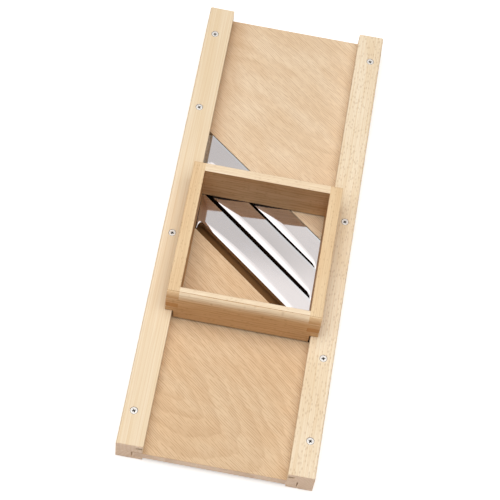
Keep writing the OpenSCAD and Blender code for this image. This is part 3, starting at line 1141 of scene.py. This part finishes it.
@dataclass
class Screws:
    """The eight countersunk screws that hold the guide strips down.

    Attributes:
        head: Diameter of a head.
        shank: Diameter of a shank.
        length: Length of a screw.
        recess_length: Length of one slot of the cross recess.
        recess_width: Width of one slot of the cross recess.
        recess_depth: Depth of the cross recess.
        recess_wall: Width of the sloping walls of the recess.
        rim: Rounding of the rim of a head.
        turns: How far each cross recess stands turned, in degrees, left rail first, from its far end.
    """

    head: float = 7.6
    shank: float = 4.0
    length: float = 25.0
    recess_length: float = 4.4
    recess_width: float = 1.0
    recess_depth: float = 1.6
    recess_wall: float = 0.35
    rim: float = 0.22
    turns: tuple[float, ...] = (8.0, 38.0, 70.0, 31.0, 20.0, 52.0, 12.0, 64.0)

    AROUND = 97
    ALONG = 64
    # Where on the rolled sheet the head, the cone and the shank end, as shares of its length
    HEAD_END, CONE_END, SHANK_END = 0.66, 0.8, 0.92
    # Where on the head's radius the painted shade of the rim starts and is full, and how late the rim rounds
    # off
    SHADED_RIM = (0.87, 0.94)
    RIM_POWER = 8.0
    # Length of the recess's sloping ends, in widths of its walls
    END_WALLS = 4.0
    MERGE = 0.004
    SHARP_ANGLE = math.radians(40)
    PLACES = ("far_end", "far_corner", "near_corner", "near_end")

    def nodes(self) -> list[str]:
        """Lists the solids of the screws, left rail first, each rail from its far end."""
        return [f"{side}_{place}_screw" for side in ("left", "right") for place in self.PLACES]

    def rule(self) -> GeometryRule:
        """Builds the tree that turns one screw and sets it on every marked point.

        Returns:
            The tree, whose inputs are the sizes of the screw in metres.
        """
        rule = GeometryRule("driven_screws")
        bench = rule.bench
        head, shank, length = rule.sizes("head", "shank", "length")
        depth, rim = rule.sizes("recess_depth", "rim")

        sheet = bench.add("GeometryNodeMeshGrid", {
            "Size X": 1.0, "Size Y": 1.0, "Vertices X": self.AROUND, "Vertices Y": self.ALONG})
        flat_x, flat_y, _ = bench.parts(bench.add("GeometryNodeInputPosition").outputs[0])
        around, along = flat_x * (-2 * math.pi), flat_y + 0.5
        ends = (0.0, self.HEAD_END, self.CONE_END, self.SHANK_END, 1.0)
        on_head, on_cone, on_shank, on_tip = (
            bench.rise(along, low, high, smooth=False) for low, high in zip(ends, ends[1:]))

        head_r, shank_r = head * 0.5, shank * 0.5
        cone = head_r - shank_r
        radius = head_r * on_head - cone * on_cone - shank_r * on_tip
        x, y = radius * bench.math("COSINE", around), radius * bench.math("SINE", around)
        cross = self._cross(rule, x, y)
        top = bench.math("LESS_THAN", along, self.HEAD_END)
        rounded = rim * bench.math("POWER", on_head, self.RIM_POWER) * (1.0 - on_cone)
        sunk = cone * on_cone + (length - cone - shank) * on_shank + shank * on_tip
        sunk = sunk + rounded + cross * depth * top
        # Painted shade: the cross recess and the rim are marked to be darkened.
        grime = bench.math("MAXIMUM", cross, bench.rise(on_head, *self.SHADED_RIM))
        turned = rule.shaped(sheet.outputs["Mesh"], "grime", grime, bench.vector(x, y, sunk * -1.0))
        screw = bench.add("GeometryNodeMergeByDistance", {"Geometry": turned, "Distance": self.MERGE * MM})

        turn = bench.add("GeometryNodeInputNamedAttribute", {"Name": "turn"}, data_type="FLOAT").outputs[0]
        screws = bench.add("GeometryNodeInstanceOnPoints", {
            "Points": rule.source.outputs["Geometry"], "Instance": screw.outputs[0],
            "Rotation": bench.vector(0.0, 0.0, turn)})
        rule.close(screws.outputs[0], self.SHARP_ANGLE)
        return rule

    def _cross(self, rule: GeometryRule, x: Quantity, y: Quantity) -> Quantity:
        """Gives the cross recess over the head: 1 in its slots, 0 outside, with sloping walls.

        Args:
            rule: The tree of the screw.
            x: Place across the head.
            y: Place along the head.

        Returns:
            The share of the recess's depth.
        """
        bench = rule.bench
        length, width, wall = rule.sizes("recess_length", "recess_width", "recess_wall")
        slots = []
        for along, across in ((x, y), (y, x)):
            ended = bench.rise(length * 0.5 - abs(along), 0.0, wall * self.END_WALLS)
            sided = bench.rise(width * 0.5 - abs(across), wall * -0.5, wall * 0.5)
            slots.append(bench.math("MINIMUM", ended, sided))
        return bench.math("MAXIMUM", *slots)

    def build(self) -> bpy.types.Object:
        """Sets a screw in place of each solid.

        Returns:
            One piece with all the screws.
        """
        points = []
        for node in self.nodes():
            low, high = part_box(node)
            points.append(((low.x + high.x) / 2, (low.y + high.y) / 2, high.z))
        base = bpy.data.meshes.new("screw_places")
        base.from_pydata(points, [], [])
        turn = base.attributes.new("turn", "FLOAT", "POINT")
        turn.data.foreach_set("value", [math.radians(t) for t in self.turns])
        return self.rule().make("strip_screws", base, {**metres(self), "finish": ScrewFinish().material()})

    def dress(self, piece: bpy.types.Object) -> None:
        """Ties the screws to the frame.

        Args:
            piece: The built screws.
        """
        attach(piece, FRAME_BODY)
        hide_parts(*self.nodes())


@dataclass
class Studio:
    """A white floor, soft light from above, and the camera of the photograph.

    Attributes:
        focal: Focal length, in pixels of a picture that is 500 pixels wide.
        eye: Place of the camera.
        forward: Direction that it looks in.
        right: Direction to the right of its picture.
        lamp_place: Place of the soft lamp.
        lamp_width: Width of its square.
        lamp_power: Its power in watts.
        floor_half: Half the width of the floor.
        floor_gap: Depth of the floor below the cutter.
        glow: Light that the brightly lit floor gives off round the cutter.
        shadow_half: Half the width and length of the dark floor below the cutter.
        shadow_edge: Width of the soft edge of that dark floor.
        paper: Colour of the floor.
        shaded: Colour of the painted shade on the floor below the cutter.
        throat: Colour of the painted pool of light on the floor below the open throat, where light falls in.
        throat_place: Where that light falls, square to the blades, and how far it spreads.
        bounce: Colour of the light that the floor throws back on the cutter.
        fill: Colour of the dim light from round about.
        warm: Colour of the low light from the front.
    """

    focal: float = 1736.7
    eye: Triple = (5.21, -894.67, 1536.55)
    forward: Triple = (-0.00579, 0.49785, -0.86724)
    right: Triple = (0.98337, 0.16025, 0.08542)
    lamp_place: Triple = (-80.0, -180.0, 1900.0)
    lamp_width: float = 2300.0
    lamp_power: float = 49.5
    floor_half: float = 6000.0
    floor_gap: float = 0.2
    glow: float = 0.45
    shadow_half: Pair = (94.0, 246.0)
    shadow_edge: float = 20.0
    paper: Colour = (0.906, 0.906, 0.906)
    shaded: Colour = (0.14, 0.09, 0.05)
    throat: Colour = (0.48, 0.34, 0.21)
    throat_place: Pair = (-36.0, 14.0)
    bounce: Colour = (0.95, 0.91, 0.87)
    fill: Colour = (1.0, 0.86, 0.70)
    warm: Colour = (1.0, 0.70, 0.32)

    PICTURE = 500
    SENSOR = 36.0

    # What the steel mirrors: where each part of the room starts and is full, and its strength
    PANEL_FAR, PANEL = (0.37, 0.345), (0.54, 0.69)
    OVERHEAD_FAR, OVERHEAD = (0.322, 0.303), 0.35
    SIDEWAYS_PAST, SIDEWAYS = (0.167, 0.187), (1.0, 1.23)
    WALL_HEIGHT, WALL = (0.60, 0.88), 0.45
    BOX_PAST, BOX_HEIGHT, BOX = (0.12, -0.10), (0.55, 0.80), 0.45
    BEHIND_FAR, BEHIND = (-0.15, -0.45), (1.0, 0.6)

    # The dim light from round about, in the same way
    SKY_HEIGHT, SKY = (0.0, 1.0), (0.03, 0.22)
    NEAR_FAR, NEAR = (0.1, -0.5), (1.0, 0.15)
    FRONT_FAR, FRONT_TOP, FRONT_FOOT, FRONT = (-0.1, -0.6), (0.42, 0.08), (-0.05, 0.05), 0.36

    def build(self) -> None:
        """Sets up floor, light and camera."""
        self._camera()
        self._floor()
        self._world()
        self._lamp()
        bpy.context.scene.view_settings.view_transform = "Standard"

    def _camera(self) -> None:
        """Puts the camera where the photograph was taken."""
        data = bpy.data.cameras.new("photo_camera")
        data.sensor_width = self.SENSOR
        data.lens = self.focal / self.PICTURE * self.SENSOR
        back = -Vector(self.forward).normalized()
        up = back.cross(Vector(self.right)).normalized()
        turn = Matrix((up.cross(back), up, back)).transposed().to_4x4()
        camera = placed("photo_camera", data)
        camera.matrix_world = Matrix.Translation(Vector(self.eye) * MM) @ turn
        bpy.context.scene.camera = camera

    def _floor(self) -> None:
        """Lays a white floor that keeps a faint shadow, with painted shade below the cutter."""
        reach, depth = self.floor_half * MM, -self.floor_gap * MM
        data = bpy.data.meshes.new("floor")
        corners = [(x * reach, y * reach, depth) for x, y in ((-1, -1), (1, -1), (1, 1), (-1, 1))]
        data.from_pydata(corners, [], [(0, 1, 2, 3)])
        floor = placed("floor", data)
        made = bpy.data.materials.new("white_floor")
        bench = NodeBench.of(made)
        place = bench.add("ShaderNodeTexCoord").outputs["Object"]
        around, below = self._around(bench, place), self._below(bench, place)
        seen = bench.number("ShaderNodeLightPath", {}, "Is Camera Ray")
        open_floor = bench.blend(seen, rgba(self.bounce), rgba(self.paper))
        # Below the cutter the floor is painted dark as shade, and lighter below the throat as a painted pool
        # of light.
        paper = bench.add("ShaderNodeBsdfDiffuse", {"Color": bench.blend(around, below, open_floor)})
        strength = around * seen * self.glow
        glow = bench.add("ShaderNodeEmission", {"Color": WHITE, "Strength": strength})
        both = bench.add("ShaderNodeAddShader", {0: paper.outputs[0], 1: glow.outputs[0]})
        bench.add("ShaderNodeOutputMaterial", {"Surface": both.outputs[0]})
        data.materials.append(made)

    def _around(self, bench: NodeBench, place: Socket) -> Quantity:
        """Gives 1 on the lit floor round the cutter, and 0 in its shadow below."""
        beyond = [
            bench.rise(abs(part), (reach - self.shadow_edge) * MM, reach * MM)
            for part, reach in zip(bench.parts(place), self.shadow_half)]
        return bench.math("MAXIMUM", *beyond)

    def _below(self, bench: NodeBench, place: Socket) -> Socket:
        """Gives the painted shade of the floor below the cutter, with a painted pool of light below the open
        throat.
        """
        middle, spread = (length * MM for length in self.throat_place)
        distance = abs(bench.dot(place, ACROSS_BLADES) - middle)
        return bench.blend(bench.rise(distance, spread, spread / 2), rgba(self.shaded), rgba(self.throat))

    def _world(self) -> None:
        """Surrounds the cutter with white for the eye, a softbox for the steel and dim light for the rest."""
        world = bpy.data.worlds.new("studio")
        bench = NodeBench.of(world)
        way = bench.add("ShaderNodeTexCoord").outputs["Generated"]
        path = bench.add("ShaderNodeLightPath").outputs
        glossy, camera = path["Is Glossy Ray"], path["Is Camera Ray"]
        height, far, past = (bench.dot(way, axis) for axis in (UP, FAR, ACROSS_BLADES))

        low = bench.rise(height, *self.FRONT_TOP) * bench.rise(height, *self.FRONT_FOOT)
        front = bench.rise(far, *self.FRONT_FAR) * low
        sky = bench.between(bench.rise(height, *self.SKY_HEIGHT), *self.SKY)
        lighting = sky * bench.between(bench.rise(far, *self.NEAR_FAR), *self.NEAR) + front * self.FRONT
        unseen = bench.between(glossy, lighting, self._mirrored(bench, height, far, past))
        colour = bench.blend(front, rgba(self.fill), rgba(self.warm))
        shown = bench.add("ShaderNodeBackground", {
            "Color": bench.blend(bench.math("MAXIMUM", glossy, camera), colour, WHITE),
            "Strength": bench.between(camera, unseen, 1.0)})
        bench.add("ShaderNodeOutputWorld", {"Surface": shown.outputs[0]})
        bpy.context.scene.world = world

    def _mirrored(self, bench: NodeBench, height: Quantity, far: Quantity, past: Quantity) -> Quantity:
        """Gives the brightness of the room that the steel mirrors.

        Args:
            bench: Where the nodes go.
            height: How far a direction points up.
            far: How far it points to the far end.
            past: How far it points past the blades, square to them.

        Returns:
            The brightness in that direction.
        """
        panel = bench.between(bench.rise(far, *self.PANEL_FAR), *self.PANEL)
        panel = panel + bench.rise(far, *self.OVERHEAD_FAR) * self.OVERHEAD
        panel = panel * bench.between(bench.rise(past, *self.SIDEWAYS_PAST), *self.SIDEWAYS)
        wall = bench.between(bench.rise(height, *self.WALL_HEIGHT), self.WALL, panel)
        box = bench.rise(past, *self.BOX_PAST) * bench.rise(height, *self.BOX_HEIGHT)
        return (wall + box * self.BOX) * bench.between(bench.rise(far, *self.BEHIND_FAR), *self.BEHIND)

    def _lamp(self) -> None:
        """Hangs a soft lamp that looks at the middle of the cutter."""
        data = bpy.data.lights.new("overhead_softbox", "AREA")
        data.size = self.lamp_width * MM
        data.energy = self.lamp_power
        lamp = placed("overhead_softbox", data)
        lamp.location = Vector(self.lamp_place) * MM
        lamp.rotation_mode = "QUATERNION"
        lamp.rotation_quaternion = (-lamp.location).to_track_quat("-Z", "Y")
        lamp.visible_glossy = False


def main() -> None:
    """Builds every piece of the cutter and the studio around it."""
    logging.basicConfig(level=logging.INFO, format="%(name)s: %(message)s")
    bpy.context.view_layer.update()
    Studio().build()
    log.info("studio is set up")

    wood = [*Rails().pieces(), *Boards().pieces(), *Carriage().pieces()]
    faces = wooden_faces([part.node for part in wood])
    for part in wood:
        piece = part.build(faces)
        part.dress(piece)
        log.info("%s has %d faces", piece.name, len(piece.data.polygons))

    blades = Blades()
    steel = blades.build()
    blades.dress(steel)
    for piece in steel.values():
        log.info("%s has %d faces", piece.name, len(piece.data.polygons))

    screws = Screws()
    driven = screws.build()
    screws.dress(driven)
    log.info("%s has %d faces", driven.name, len(driven.data.polygons))


if __name__ == "__main__":
    main()
